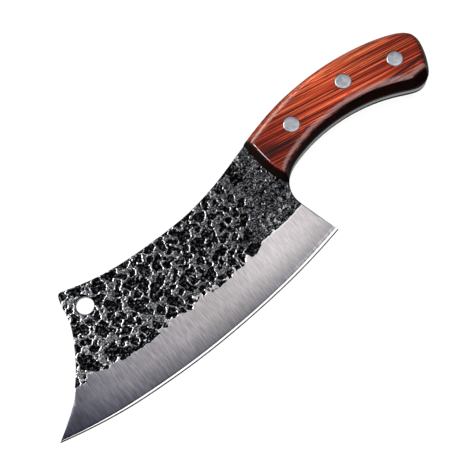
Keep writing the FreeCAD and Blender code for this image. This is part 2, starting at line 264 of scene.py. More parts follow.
def hammered(seed):
    """Depth of the hammer marks below the flat, in mm, over the fine grid."""
    rng = np.random.default_rng(seed)

    def warp(k, big):
        return (big * value_noise(GX, GY, 4.3, seed + k) + 0.62 * value_noise(GX, GY, 2.0, seed + k + 1)
                + 0.26 * value_noise(GX, GY, 0.95, seed + k + 2))

    wx, wy = GX + warp(1, 1.25), GY + warp(5, 1.25)
    rough = value_noise(GX, GY, 0.9, seed + 9)
    depth, floor = np.zeros_like(GX), np.zeros_like(GX)
    lumps = 0.6 * value_noise(GX, GY, 1.35, seed + 10) + 0.4 * value_noise(GX, GY, 0.7, seed + 11)

    def big_room(p, c, r):
        if r < 1.5 * c:
            return None
        tip = np.clip((110.0 - p[0]) / 80.0, 0, 1)
        return (5.2 + 2.4 * tip) * (0.55 + 0.85 * r)

    big = [(p, 0.60 * room, 0.42 + 0.40 * u) for p, room, c, u in scattered(rng, 9000, big_room)]
    lobed_pits(rng, big, wx, wy, rough, depth, floor)

    def small_room(p, c, r):
        return (1.9 + 1.7 * r) * (1 + 0.10 * c)

    small = [(p, 0.36 * room, (0.16 + 0.30 * u) * (1 - 0.12 * c)) for p, room, c, u in
             scattered(rng, 9000, small_room)]
    lobed_pits(rng, small, wx, wy, rough, depth, floor)
    calm = near_handle(GX, GY)
    # lumps on the pits' floors, shallow smooth scoops between them, and the fine grain of the scale
    depth += floor * lumps * 0.30 * np.clip(depth / 0.35, 0, 1)
    scoop = np.clip(value_noise(GX, GY, 3.4, seed + 12) + 0.3 * value_noise(GX, GY, 1.7, seed + 13), 0, 1)
    depth += (1 - floor) * (0.16 * scoop * (1 - 0.4 * calm) + 0.045 * lumps)
    grain = 0.6 * value_noise(GX, GY, 0.95, seed + 14) + 0.4 * value_noise(GX, GY, 0.55, seed + 15)
    lines_x = GX + 0.8 * value_noise(GX, GY, 2.6, seed + 20)
    lines_y = GY + 0.8 * value_noise(GX, GY, 2.6, seed + 21)
    curls = 1 - np.abs(value_noise(lines_x, lines_y, 1.5, seed + 22)) * 3.0
    depth += calm * (0.08 * grain + 0.13 * value_noise(GX, GY, 1.5, seed + 16) + 0.04 * value_noise(GX, GY, 4.0, seed + 17)
                     - 0.05 * np.clip(curls, 0, 1))
    return np.clip(depth + 0.05, 0.0, 1.15)


def raster(a, x, y):
    """Bilinear reading of a height map."""
    u = np.clip((np.asarray(x) - RX0) / CELL, 0, NX - 1.001)
    v = np.clip((np.asarray(y) - RY0) / CELL, 0, NY - 1.001)
    i, j = u.astype(int), v.astype(int)
    fu, fv = u - i, v - j
    return (a[i, j] * (1 - fu) * (1 - fv) + a[i + 1, j] * fu * (1 - fv) + a[i, j + 1] * (1 - fu) * fv
            + a[i + 1, j + 1] * fu * fv)


class Face:
    """One side of the blade: heights and the values that its material reads."""

    def __init__(self, seed):
        self.seed = seed
        self.depth = hammered(seed)
        soft = blurred(self.depth, 0.42 / CELL)
        wide = blurred(self.depth, 1.1 / CELL)
        self.rim = np.clip((soft - self.depth - 0.02) / 0.11, 0, 1) * np.clip(wide / 0.15, 0, 1)
        self.rim *= 1 - 0.62 * near_handle(GX, GY)
        self.pit = smoothstep(0.16, 0.40, 0.7 * self.depth + 0.3 * soft)

    def at(self, x, y):
        x, y = np.asarray(x, float), np.asarray(y, float)
        depth = raster(self.depth, x, y)
        # by the heel the border of the grinding is nearly straight
        straight = near_handle(x, y) * (1 - smoothstep(0.6, 2.6, y - grind_y(x)))
        depth = depth * (1 - straight) + 0.07 * straight
        low = edge_y(x)
        wide = honed_width(x)
        ragged = 0.60 * value_noise(x, y, 1.5, self.seed + 40) + 0.35 * value_noise(x, y, 0.8, self.seed + 41)
        g = grind_y(x) + ragged * (1 - 0.75 * near_handle(x, y))
        below = g - y
        # the marks die out a little below the border, where the grinding has taken them off
        depth = depth * (1 - smoothstep(0.3, 3.2, below))
        # the ground face is very slightly rounded towards the edge
        t = np.clip((y - (low + wide)) / np.maximum(g - (low + wide), 1.0), 0, 1.3)
        bevel = MICRO + (HALF - 0.12 - MICRO) * (t + 0.16 * t * (1 - t))
        honed = APEX + (y - low) * (MICRO - APEX) / wide
        ground = np.minimum(np.minimum(bevel, honed), HALF)
        forged = HALF - depth
        z = np.minimum(forged, ground)
        return z, forged - ground, raster(self.pit, x, y), raster(self.rim, x, y)


# ------------------------------------------------------------------ flat outlines turned into solid meshes
def inside(loop, points):
    x, y = points[:, 0], points[:, 1]
    found = np.zeros(len(points), bool)
    for (x1, y1), (x2, y2) in zip(loop, np.roll(loop, -1, 0)):
        if y1 == y2:
            continue
        found ^= ((y1 > y) != (y2 > y)) & (x < (x2 - x1) * (y - y1) / (y2 - y1) + x1)
    return found


def tree(points):
    kd = KDTree(len(points))
    for i, p in enumerate(points):
        kd.insert((p[0], p[1], 0.0), i)
    kd.balance()
    return kd


def gap(kd, points):
    return np.array([kd.find((p[0], p[1], 0.0))[2] for p in points])


def hex_grid(step, low, high):
    rows = []
    dy = step * math.sqrt(3) / 2
    for r, y in enumerate(np.arange(low[1], high[1] + dy, dy)):
        x = np.arange(low[0] + (0.5 * step if r % 2 else 0.0), high[0] + step, step)
        rows.append(np.c_[x, np.full(len(x), y)])
    return np.vstack(rows)


def triangulate(loops, lines, points):
    """Triangles of the region inside the first loop and outside the others. The loops' points come first, in order."""
    verts, edges, start = [], [], 0
    for loop in loops:
        n = len(loop)
        verts.append(loop)
        edges += [(start + i, start + (i + 1) % n) for i in range(n)]
        start += n
    border = start
    for line in lines:
        n = len(line)
        verts.append(line)
        edges += [(start + i, start + i + 1) for i in range(n - 1)]
        start += n
    verts.append(points)
    flat = np.vstack(verts)
    out = delaunay_2d_cdt([Vector(p) for p in flat], edges, [], 0, 1e-7)
    co = np.array([tuple(v) for v in out[0]])
    tris = np.array(out[2], int)
    order = np.full(len(co), -1)
    for new, olds in enumerate(out[3]):
        if olds:
            order[new] = min(olds)
    # put the loops' points first, in the order given
    is_border = (order >= 0) & (order < border)
    rank = np.where(is_border, order, border + 1 + np.arange(len(co)))
    perm = np.argsort(rank, kind="stable")
    place = np.empty(len(co), int)
    place[perm] = np.arange(len(co))
    co, tris = co[perm], place[tris]
    assert is_border.sum() == border, "an outline point was lost"
    middle = co[tris].mean(axis=1)
    near = (tris < border).sum(axis=1) >= 2
    keep = np.ones(len(tris), bool)
    test = inside(loops[0], middle[near])
    for hole in loops[1:]:
        test &= ~inside(hole, middle[near])
    keep[near] = test
    tris = tris[keep]
    a, b, c = co[tris[:, 0]], co[tris[:, 1]], co[tris[:, 2]]
    area = (b[:, 0] - a[:, 0]) * (c[:, 1] - a[:, 1]) - (c[:, 0] - a[:, 0]) * (b[:, 1] - a[:, 1])
    tris[area < 0] = tris[area < 0][:, ::-1]
    tris = tris[np.abs(area) > 1e-9]
    return co, tris, border


def loops_of(loops):
    start = 0
    for loop in loops:
        n = len(loop)
        yield start, n
        start += n


def build(name, co, faces, attributes=None, sharp=None, smooth=True, cad_node=None):
    mesh = bpy.data.meshes.new(name)
    placed = to_row(co)
    if cad_node:
        low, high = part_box(cad_node)
        placed = np.clip(placed, np.array(low) + 2e-8, np.array(high) - 2e-8)
    mesh.from_pydata([tuple(p) for p in placed], [], [tuple(int(i) for i in f) for f in faces])
    mesh.validate()
    mesh.polygons.foreach_set("use_smooth", np.full(len(mesh.polygons), smooth))
    for key, values in (attributes or {}).items():
        layer = mesh.attributes.new(key, "FLOAT", "POINT")
        layer.data.foreach_set("value", np.asarray(values, np.float32))
    if sharp:
        pairs = np.zeros(len(mesh.edges) * 2, np.int64)
        mesh.edges.foreach_get("vertices", pairs)
        pairs = np.sort(pairs.reshape(-1, 2), axis=1)
        wanted = {tuple(sorted(e)) for e in sharp}
        flags = np.fromiter(((int(a), int(b)) in wanted for a, b in pairs), bool, len(pairs))
        layer = mesh.attributes.new("sharp_edge", "BOOLEAN", "EDGE")
        layer.data.foreach_set("value", flags)
    mesh.update()
    piece = bpy.data.objects.new(name, mesh)
    scene.collection.objects.link(piece)
    return piece


# ------------------------------------------------------------------ node materials
def material(name):
    mat = bpy.data.materials.new(name)
    mat.use_nodes = True
    mat.node_tree.nodes.clear()
    return mat, mat.node_tree


def node(tree_, kind, inputs=None, **settings):
    n = tree_.nodes.new(kind)
    for key, value in settings.items():
        setattr(n, key, value)
    for key, value in (inputs or {}).items():
        socket = n.inputs[key]
        if isinstance(value, bpy.types.NodeSocket):
            tree_.links.new(value, socket)
        else:
            socket.default_value = value
    return n


def math_node(tree_, operation, a, b=None, clamp=False):
    n = node(tree_, "ShaderNodeMath", operation=operation, use_clamp=clamp)
    for i, value in enumerate((a, b)):
        if value is None:
            continue
        if isinstance(value, bpy.types.NodeSocket):
            tree_.links.new(value, n.inputs[i])
        else:
            n.inputs[i].default_value = value
    return n.outputs[0]


def mix_colour(tree_, factor, a, b, blend="MIX"):
    n = node(tree_, "ShaderNodeMix", data_type="RGBA", blend_type=blend)
    for key, value in ((0, factor), (6, a), (7, b)):
        if isinstance(value, bpy.types.NodeSocket):
            tree_.links.new(value, n.inputs[key])
        else:
            n.inputs[key].default_value = value
    return n.outputs[2]


def remap(tree_, value, low, high, to_low=0.0, to_high=1.0, smooth=True):
    n = node(tree_, "ShaderNodeMapRange", {"Value": value, "From Min": low, "From Max": high, "To Min": to_low,
                                           "To Max": to_high}, interpolation_type="SMOOTHSTEP" if smooth else "LINEAR")
    return n.outputs[0]


def ramp(tree_, value, stops):
    n = node(tree_, "ShaderNodeValToRGB", {"Fac": value})
    elements = n.color_ramp.elements
    while len(elements) > 1:
        elements.remove(elements[-1])
    elements[0].position, elements[0].color = stops[0][0], stops[0][1]
    for position, colour in stops[1:]:
        elements.new(position).color = colour
    return n.outputs["Color"]


def grey(v, tint=(1.0, 1.0, 1.0)):
    return (v * tint[0], v * tint[1], v * tint[2], 1.0)


def attribute(tree_, key):
    return node(tree_, "ShaderNodeAttribute", attribute_name=key, attribute_type="GEOMETRY").outputs["Fac"]


def coordinates(tree_, scale=(1, 1, 1), rotation=(0, 0, 0), location=(0, 0, 0)):
    source = node(tree_, "ShaderNodeTexCoord").outputs["Object"]
    return node(tree_, "ShaderNodeMapping", {"Vector": source, "Scale": scale, "Rotation": rotation,
                                             "Location": location}, vector_type="POINT").outputs[0]


def noise(tree_, vector, scale, detail=2.0, rough=0.5, distortion=0.0):
    return node(tree_, "ShaderNodeTexNoise", {"Vector": vector, "Scale": scale, "Detail": detail, "Roughness": rough,
                                              "Distortion": distortion}).outputs["Fac"]


def finish_material(tree_, shader):
    out = node(tree_, "ShaderNodeOutputMaterial")
    tree_.links.new(shader.outputs[0], out.inputs["Surface"])


def blade_material():
    mat, t = material("forged_steel_blade")
    plain = coordinates(t)
    ground = attribute(t, "ground")
    pit = attribute(t, "pit")
    rim = attribute(t, "rim")
    above = attribute(t, "above_edge")
    wide = attribute(t, "honed")
    calm = attribute(t, "calm")
    wall = attribute(t, "wall")
    along = node(t, "ShaderNodeSeparateXYZ", {"Vector": plain}).outputs["X"]
    to_tip = remap(t, along, -0.155, 0.0, 1.0, 0.0, smooth=False)

    # --- forged skin: black pits, speckled grey between them, and broken bright rims, partly burnished wear and partly a painted highlight
    fine = noise(t, plain, 1150.0, 2.0, 0.6)
    lumps = noise(t, plain, 640.0, 3.0, 0.6)
    broad = noise(t, plain, 150.0, 2.0, 0.5)
    speckle = math_node(t, "ADD", math_node(t, "MULTIPLY", fine, 0.70), math_node(t, "MULTIPLY", lumps, 0.30))
    ridge = ramp(t, speckle, [(0.41, grey(0.016, (0.94, 0.97, 1.12))), (0.47, grey(0.065, (0.95, 0.98, 1.08))),
                              (0.53, grey(0.21, (0.95, 0.975, 1.07))), (0.60, grey(0.44, (0.97, 0.98, 1.05)))])
    skin = ramp(t, speckle, [(0.43, grey(0.002, (0.85, 0.94, 1.15))), (0.48, grey(0.021, (0.92, 0.96, 1.14))),
                             (0.525, grey(0.080, (0.93, 0.97, 1.12))), (0.585, grey(0.29, (0.95, 0.98, 1.08)))])
    forged = mix_colour(t, calm, ridge, skin)
    gain = mix_colour(t, math_node(t, "MULTIPLY", to_tip, 0.9), grey(0.65), grey(1.35))
    forged = mix_colour(t, 1.0, forged, gain, "MULTIPLY")
    deep = ramp(t, lumps, [(0.44, grey(0.0004)), (0.53, grey(0.0028, (0.95, 0.98, 1.08))),
                           (0.60, grey(0.023, (0.95, 0.98, 1.08))), (0.68, grey(0.10))])
    hollow = math_node(t, "ADD", pit, math_node(t, "MULTIPLY", math_node(t, "SUBTRACT", broad, 0.5), 0.35))
    forged = mix_colour(t, remap(t, hollow, 0.10, 0.52), forged, deep)
    # the rims are lightened in the base colour, more towards the tip: partly wear, partly a painted highlight
    rim_wear_and_highlight = math_node(t, "ADD", rim, math_node(t, "SUBTRACT", math_node(t, "MULTIPLY", fine, 1.6), 0.8))
    rim_wear_and_highlight_gain = math_node(t, "ADD", math_node(t, "MULTIPLY", to_tip, 0.35), 0.40)
    forged = mix_colour(t, math_node(t, "MULTIPLY", remap(t, rim_wear_and_highlight, 0.35, 1.0), rim_wear_and_highlight_gain), forged, grey(0.60, (0.97, 0.985, 1.04)))
    # --- ground bevel, with marks square to the edge
    streak = noise(t, coordinates(t, scale=(1.0, 0.013, 1.0)), 2700.0, 2.0, 0.6)
    streak_wide = noise(t, coordinates(t, scale=(1.0, 0.012, 1.0)), 420.0, 2.0, 0.6)
    marks = math_node(t, "ADD", math_node(t, "MULTIPLY", streak, 0.91), math_node(t, "MULTIPLY", streak_wide, 0.09))
    satin = ramp(t, marks, [(0.36, grey(0.45, (1.02, 0.975, 1.01))), (0.50, grey(0.54, (1.025, 0.975, 1.0))),
                            (0.64, grey(0.63, (1.03, 0.98, 0.995)))])
    over = math_node(t, "SUBTRACT", above, wide)
    # painted reflection: the ground face is darker and bluer towards the honed edge, a little less by the heel
    low_dark = math_node(t, "MULTIPLY", remap(t, over, 0.0, 13.0, 0.74, 0.0, smooth=False), remap(t, along, 0.0, 0.03, 1.0, 0.72))
    satin = mix_colour(t, low_dark, satin, grey(0.12, (0.88, 0.96, 1.25)))
    # painted reflection: the ground face darkens and turns bluer towards the tip, and its tone rises and falls along
    # the blade
    satin = mix_colour(t, remap(t, along, -0.150, -0.055, 0.82, 0.0), satin, grey(0.055, (0.82, 0.90, 1.34)))
    tone = ramp(t, remap(t, along, -0.16, 0.045, 0.0, 1.0, smooth=False), [
        (0.117, grey(0.72, (0.95, 0.98, 1.08))), (0.19, grey(1.0, (0.97, 0.98, 1.07))), (0.288, grey(0.95, (0.98, 0.985, 1.05))),
        (0.385, grey(0.82, (0.985, 0.985, 1.04))), (0.58, grey(0.82)), (0.678, grey(0.90)), (0.776, grey(1.0)),
        (0.85, grey(1.0)), (0.92, grey(0.90))])
    satin = mix_colour(t, 1.0, satin, tone, "MULTIPLY")
    # the marks show more towards the tip
    scratch = math_node(t, "ADD", math_node(t, "MULTIPLY", streak, 0.88), math_node(t, "MULTIPLY", streak_wide, 0.12))
    scratch = ramp(t, scratch, [(0.38, grey(0.84)), (0.50, grey(1.0)), (0.62, grey(1.16))])
    satin = mix_colour(t, remap(t, along, -0.13, 0.03, 1.0, 0.20), satin, scratch, "MULTIPLY")
    satin = mix_colour(t, remap(t, math_node(t, "ABSOLUTE", math_node(t, "SUBTRACT", over, 0.3)), 0.0, 0.7, 0.42, 0.0), satin,
                       grey(0.03, (0.9, 0.95, 1.2)))
    # a painted reflection: a light band beside the honed edge near the heel, broken up by the grinding marks
    strip = math_node(t, "MULTIPLY", remap(t, over, 1.6, 2.3, 1.0, 0.0), remap(t, along, -0.02, 0.035))
    satin = mix_colour(t, math_node(t, "MULTIPLY", strip, remap(t, streak, 0.42, 0.58, 0.0, 0.6)), satin, grey(0.74))
    is_ground = remap(t, math_node(t, "ADD", ground, math_node(t, "MULTIPLY", math_node(t, "SUBTRACT", fine, 0.5),
                                                               0.03)), -0.008, 0.010)
    # a painted highlight: a near-white line just inside the ground face along its border with the forged skin
    ground_border_highlight = remap(t, math_node(t, "ABSOLUTE", math_node(t, "SUBTRACT", ground, 0.022)), 0.0, 0.026, 0.75, 0.0)
    scale_edge = remap(t, math_node(t, "ABSOLUTE", math_node(t, "ADD", ground, 0.030)), 0.0, 0.026, 0.55, 0.0)
    forged = mix_colour(t, scale_edge, forged, grey(0.006))
    satin = mix_colour(t, ground_border_highlight, satin, grey(0.95))
    colour = mix_colour(t, is_ground, forged, satin)
    # --- honed edge: a near-white, non-metallic colour, a painted highlight
    honed = remap(t, over, -0.08, 0.04, 1.0, 0.0, smooth=False)
    colour = mix_colour(t, honed, colour, grey(0.97))
    apex = remap(t, above, 0.62, 0.76, 1.0, 0.0, smooth=False)
    apex = math_node(t, "MULTIPLY", apex, math_node(t, "SUBTRACT", 1.0, wall))
    colour = mix_colour(t, apex, colour, grey(0.05))
    # --- the cut edges of the bar: dark, with a few bright scratches
    side_marks = noise(t, coordinates(t, scale=(1.0, 1.0, 14.0)), 260.0, 3.0, 0.6)
    side = ramp(t, side_marks, [(0.35, grey(0.05)), (0.50, grey(0.10)), (0.65, grey(0.20))])
    # painted reflection: the bar's cut edge turns lighter towards the rear of the grip
    side = mix_colour(t, remap(t, along, 0.085, 0.135), side, grey(0.22))
    # painted shade: the bar's cut edge is dark round the butt
    side = mix_colour(t, remap(t, along, 0.1350, 0.1385), side, grey(0.030))
    height = node(t, "ShaderNodeSeparateXYZ", {"Vector": plain}).outputs["Z"]
    # painted shade: along the grip the bar's cut edge is darkened towards the scales above and below it
    joint_shade = math_node(t, "ABSOLUTE", math_node(t, "SUBTRACT", height, Z0 / 1000.0))
    joint_shade = math_node(t, "MULTIPLY", remap(t, joint_shade, 0.0008, 0.0017), remap(t, along, 0.034, 0.044))
    side = mix_colour(t, joint_shade, side, grey(0.035))
    colour = mix_colour(t, wall, colour, side)

    rough = mix_value(t, is_ground, mix_value(t, pit, 0.36, 0.62), mix_value(t, marks, 0.34, 0.46))
    rough = mix_value(t, honed, rough, 0.45)
    bright_edge = math_node(t, "MULTIPLY", honed, math_node(t, "SUBTRACT", 1.0, apex))
    metal = mix_value(t, bright_edge, 1.0, 0.0)
    relief = math_node(t, "ADD", math_node(t, "MULTIPLY", fine, 0.8), math_node(t, "MULTIPLY", lumps, 0.8))
    bump_height = mix_value(t, is_ground, relief, math_node(t, "MULTIPLY", streak, 0.08))
    bump_height = mix_value(t, honed, bump_height, 0.5)
    bump = node(t, "ShaderNodeBump", {"Strength": 0.7, "Distance": 0.00022, "Height": bump_height})
    shader = node(t, "ShaderNodeBsdfPrincipled", {"Base Color": colour, "Roughness": rough, "Metallic": metal,
                                                  "Normal": bump.outputs[0]})
    finish_material(t, shader)
    return mat


def mix_value(tree_, factor, a, b):
    n = node(tree_, "ShaderNodeMix", data_type="FLOAT")
    for key, value in ((0, factor), (2, a), (3, b)):
        if isinstance(value, bpy.types.NodeSocket):
            tree_.links.new(value, n.inputs[key])
        else:
            n.inputs[key].default_value = value
    return n.outputs[0]


GRAIN = math.radians(-8.65)      # the grain's direction in the plane of the plank


def along_grain(tree_, stretch, shift):
    source = node(tree_, "ShaderNodeTexCoord").outputs["Object"]
    return node(tree_, "ShaderNodeMapping", {"Vector": source, "Scale": (stretch, 1.0, 1.0),
                                             "Rotation": (0, 0, GRAIN), "Location": shift},
                vector_type="TEXTURE").outputs[0]


def dark_streak(tree_, at, wobble, start, stop, width):
    """A dark vein along the grain, from one point to another, both in metres."""
    c, s_ = math.cos(GRAIN), math.sin(GRAIN)
    grain = along_grain(tree_, 1.0, (0, 0, 0))
    split_ = node(tree_, "ShaderNodeSeparateXYZ", {"Vector": grain})
    u0, u1 = start[0] * c + start[1] * s_, stop[0] * c + stop[1] * s_
    v0, v1 = -start[0] * s_ + start[1] * c, -stop[0] * s_ + stop[1] * c
    line = remap(tree_, split_.outputs["X"], u0, u1, v0, v1, smooth=False)
    off = math_node(tree_, "SUBTRACT", split_.outputs["Y"], line)
    off = math_node(tree_, "ADD", off, math_node(tree_, "MULTIPLY", math_node(tree_, "SUBTRACT", wobble, 0.5), 0.004))
    near = remap(tree_, math_node(tree_, "ABSOLUTE", off), 0.35 * width, 1.1 * width, at, 0.0)
    ends = math_node(tree_, "MULTIPLY", remap(tree_, split_.outputs["X"], u0 - 0.008, u0 + 0.004),
                     remap(tree_, split_.outputs["X"], u1 - 0.004, u1 + 0.008, 1.0, 0.0))
    return math_node(tree_, "MULTIPLY", near, ends)


def wood_material(name, shift, lacquered):
    mat, t = material(name)
    lines = noise(t, along_grain(t, 90.0, shift), 1300.0, 2.0, 0.55)
    bands = noise(t, along_grain(t, 34.0, shift), 260.0, 2.0, 0.55)
    veins = noise(t, along_grain(t, 26.0, shift), 110.0, 2.0, 0.5)
    thin = noise(t, along_grain(t, 80.0, shift), 520.0, 1.0, 0.5)
    breaks = noise(t, along_grain(t, 16.0, shift), 330.0, 2.0, 0.6)
    pores = noise(t, along_grain(t, 14.0, shift), 1700.0, 2.0, 0.6)
    facet = attribute(t, "facet")
    front = attribute(t, "front")
    belly = attribute(t, "belly")
    butt = attribute(t, "butt")
    depth = attribute(t, "depth")
    value = math_node(t, "ADD", math_node(t, "MULTIPLY", lines, 0.76), math_node(t, "MULTIPLY", bands, 0.24))
    light = ramp(t, value, [(0.39, (0.110, 0.009, 0.003, 1)), (0.465, (0.280, 0.034, 0.010, 1)),
                            (0.53, (0.450, 0.076, 0.025, 1)), (0.61, (0.690, 0.220, 0.092, 1))])
    dark = ramp(t, value, [(0.39, (0.050, 0.002, 0.001, 1)), (0.465, (0.230, 0.015, 0.005, 1)),
                           (0.53, (0.510, 0.057, 0.019, 1)), (0.61, (0.770, 0.170, 0.064, 1))])
    blend = math_node(t, "ADD", depth, math_node(t, "MULTIPLY", math_node(t, "SUBTRACT", veins, 0.5), 0.7))
    colour = mix_colour(t, remap(t, blend, 0.05, 0.90), light, dark)
    # painted reflection: the plank is lightest in the middle of its length
    where = node(t, "ShaderNodeSeparateXYZ", {"Vector": coordinates(t)}).outputs["X"]
    where = math_node(t, "ADD", where, math_node(t, "MULTIPLY", math_node(t, "SUBTRACT", bands, 0.5), 0.02))
    tone = ramp(t, remap(t, where, 0.03, 0.15, 0.0, 1.0, smooth=False), [
        (0.0, grey(0.26, (1.0, 0.76, 0.74))), (0.16, grey(0.45, (1.0, 0.76, 0.74))), (0.34, grey(0.88)), (0.52, grey(1.02)),
        (0.66, grey(0.80)), (0.80, grey(0.60, (1.0, 0.88, 0.84))), (1.0, grey(0.48, (1.0, 0.64, 0.60)))])
    colour = mix_colour(t, 1.0, colour, tone, "MULTIPLY")
    swell = ramp(t, veins, [(0.36, grey(0.70, (1.0, 0.90, 0.88))), (0.50, grey(0.98)), (0.64, grey(1.22))])
    colour = mix_colour(t, 1.0, colour, swell, "MULTIPLY")
    # thin dark lines with breaks in them, pores, and a few broader veins
    hair = remap(t, math_node(t, "ABSOLUTE", math_node(t, "SUBTRACT", thin, 0.5)), 0.005, 0.034, 0.92, 0.0)
    hair = math_node(t, "MULTIPLY", hair, remap(t, breaks, 0.36, 0.52))
    colour = mix_colour(t, hair, colour, (0.030, 0.003, 0.002, 1))
    colour = mix_colour(t, remap(t, pores, 0.30, 0.38, 0.6, 0.0), colour, (0.030, 0.003, 0.002, 1))
    colour = mix_colour(t, remap(t, veins, 0.62, 0.70, 0.0, 0.45), colour, (0.045, 0.005, 0.003, 1))
    for start, stop, width, strength in STREAKS:
        colour = mix_colour(t, dark_streak(t, strength, bands, to_row(start + (0.0,)), to_row(stop + (0.0,)), width), colour,
                            (0.014, 0.003, 0.002, 1))
    # painted shade: the sides below the crease are painted nearly black along the belly and at the front, with a softer
    # dark band reaching up past the crease at the butt and along the belly
    ragged = math_node(t, "MULTIPLY", math_node(t, "SUBTRACT", lines, 0.5), 2.2)
    past = math_node(t, "ADD", facet, ragged)
    painted_shade_band = math_node(t, "MULTIPLY", remap(t, past, -0.2, 5.0, 0.55, 0.0), butt)
    colour = mix_colour(t, painted_shade_band, colour, (0.050, 0.006, 0.004, 1))
    side_shade_amount = remap(t, belly, 0.0, 1.0, 0.25, 0.945, smooth=False)
    painted_side_shade = math_node(t, "MULTIPLY", remap(t, past, -0.15, 0.35, 1.0, 0.0), side_shade_amount)
    ahead = remap(t, math_node(t, "ADD", front, math_node(t, "MULTIPLY", ragged, 0.4)), -0.55, -0.15, 0.985, 0.0)
    colour = mix_colour(t, math_node(t, "MAXIMUM", painted_side_shade, ahead), colour, (0.0036, 0.0018, 0.0015, 1))
    height = math_node(t, "ADD", math_node(t, "MULTIPLY", lines, 0.6), math_node(t, "MULTIPLY", pores, 0.4))
    bump = node(t, "ShaderNodeBump", {"Strength": 0.45, "Distance": 0.00010, "Height": height})
    rough = remap(t, value, 0.3, 0.7, 0.52, 0.38)
    if lacquered:
        ripple = node(t, "ShaderNodeBump", {"Strength": 0.34, "Distance": 0.0003, "Height": math_node(
            t, "ADD", math_node(t, "MULTIPLY", lines, 0.65), noise(t, coordinates(t, location=shift), 110.0, 2.0, 0.5))})
        shader = node(t, "ShaderNodeBsdfPrincipled", {
            "Base Color": colour, "Roughness": rough, "Normal": bump.outputs[0], "Coat Weight": 0.22,
            "Coat Roughness": 0.11, "Coat IOR": 1.5, "Coat Normal": ripple.outputs[0], "IOR": 1.5,
            "Specular IOR Level": 0.03})
    else:
        shader = node(t, "ShaderNodeBsdfPrincipled", {
            "Base Color": colour, "Roughness": rough, "Normal": bump.outputs[0], "IOR": 1.5,
            "Specular IOR Level": 0.015})
    finish_material(t, shader)
    return mat


def rivet_material():
    mat, t = material("rivet_steel_satin")
    plain = coordinates(t)
    mottle = noise(t, plain, 420.0, 3.0, 0.6)
    lines = noise(t, coordinates(t, scale=(0.06, 1.0, 1.0), rotation=(0, 0, math.radians(28))), 2600.0, 2.0, 0.6)
    value = math_node(t, "ADD", math_node(t, "MULTIPLY", mottle, 0.6), math_node(t, "MULTIPLY", lines, 0.4))
    colour = ramp(t, value, [(0.36, (0.30, 0.32, 0.36, 1)), (0.50, (0.42, 0.435, 0.48, 1)), (0.64, (0.54, 0.55, 0.59, 1))])
    bump = node(t, "ShaderNodeBump", {"Strength": 0.3, "Distance": 0.00004, "Height": lines})
    shader = node(t, "ShaderNodeBsdfPrincipled", {
        "Base Color": colour, "Roughness": remap(t, mottle, 0.3, 0.7, 0.30, 0.42), "Metallic": 1.0,
        "Normal": bump.outputs[0]})
    finish_material(t, shader)
    return mat


# ------------------------------------------------------------------ blade and tang
def rounded_corner(first, second, radius):
    """Joins two runs of points that meet in a corner with an arc-like curve of about this radius."""
    corner = first[-1]
    a = first[-8] - corner
    b = second[7] - corner
    a, b = a / np.hypot(*a), b / np.hypot(*b)
    half = 0.5 * math.acos(np.clip(a @ b, -1, 1))
    cut = radius / math.tan(half)
    one = first[np.hypot(*(first - corner).T) > cut]
    two = second[np.hypot(*(second - corner).T) > cut]
    u = np.linspace(0, 1, 9)[1:-1, None]
    w = 0.75
    arc = ((1 - u) ** 2 * one[-1] + 2 * w * u * (1 - u) * corner + u**2 * two[0]) / ((1 - u) ** 2 + 2 * w * u * (1 - u)
                                                                                   + u**2)
    return np.vstack([one, arc, two])


def blade_outline():
    run = back.sampled(0.55)
    start = front_end.sampled(0.5)[::-1]              # tip to the spine's front corner
    top = rounded_corner(start, run, 2.2)             # tip, front end, spine, handle, notch
    heel = np.linspace(run[-1], np.array(EDGE[-1]), 45)[1:]
    cut = edge_line.sampled(0.6)[::-1][1:-1]          # heel to tip
    return np.vstack([top, heel, cut])


def ring(centre, radius, count):
    a = np.linspace(0, 2 * math.pi, count, endpoint=False)
    return np.c_[centre[0] + radius * np.cos(a), centre[1] + radius * np.sin(a)]


scale_start = back.arc_where(lambda p: p[0] < SCALE_TOP_X, 0.0, 200.0)
low_side = back.arc_where(lambda p: p[0] < 240.0, 0.0, 200.0)
scale_stop = back.arc_where(lambda p: p[1] > SCALE_LOW_Y, back.length - 75.0, back.length)
side_run = back.sampled(0.9, scale_start, scale_stop)
bow = Curve([tuple(side_run[-1])] + SCALE_FRONT[::-1] + [tuple(side_run[0])])
bow_run = bow.sampled(0.9)
scale_loop = np.vstack([side_run, bow_run[1:-1]])


